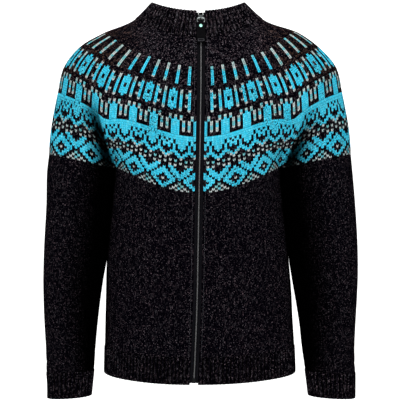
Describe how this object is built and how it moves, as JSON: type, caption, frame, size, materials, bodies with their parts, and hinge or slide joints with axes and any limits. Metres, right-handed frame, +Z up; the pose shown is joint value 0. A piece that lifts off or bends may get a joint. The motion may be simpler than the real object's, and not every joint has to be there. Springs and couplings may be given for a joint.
{
  "type": "zip cardigan",
  "caption": "Knitted wool cardigan in its worn, hollow form, with a round patterned yoke, ribbed collar, hem and cuffs, and a full front zip with a swinging pull.",
  "frame": {"origin": "between the shoulders at the foot of the neck, where a wearer's neck and shoulders carry the garment", "axes": "+Z up, -Y out of the garment's front, +X toward the wearer's left sleeve"},
  "size_m": [0.5971, 0.2438, 0.7471],
  "materials": {
    "charcoal_wool": "soft knitted wool with fine grey and mauve flecks",
    "charcoal_rib": "ribbed knitted wool",
    "patterned_wool": "stranded colourwork knit in charcoal, turquoise and off-white",
    "zip_tape": "black woven tape",
    "zip_coil": "black nylon coil",
    "dark_metal": "dark plated metal",
    "bright_metal": "bright steel wire",
    "pull_leather": "matt black leather"
  },
  "bodies": {
    "garment": {"front_right": "charcoal_wool", "front_left": "charcoal_wool", "back": "charcoal_wool", "sleeve_right": "charcoal_wool", "sleeve_left": "charcoal_wool", "yoke": "patterned_wool", "collar": "charcoal_rib", "hem_right": "charcoal_rib", "hem_back": "charcoal_rib", "hem_left": "charcoal_rib", "cuff_right": "charcoal_rib", "cuff_left": "charcoal_rib", "zip_tape_right": "zip_tape", "zip_tape_left": "zip_tape", "zip_chain": "zip_coil", "zip_retainer": "dark_metal", "zip_slider": "dark_metal"},
    "pull": {"zip_ring": "bright_metal", "zip_tab": "pull_leather"}
  },
  "joints": [
    {"name": "pull_swing", "type": "hinge", "parent": "garment", "child": "pull", "pos_m": [0.00152, -0.07932, 0.00765], "axis": [-1, -0.003, -0.009], "range_deg": [0, 150]}
  ]
}
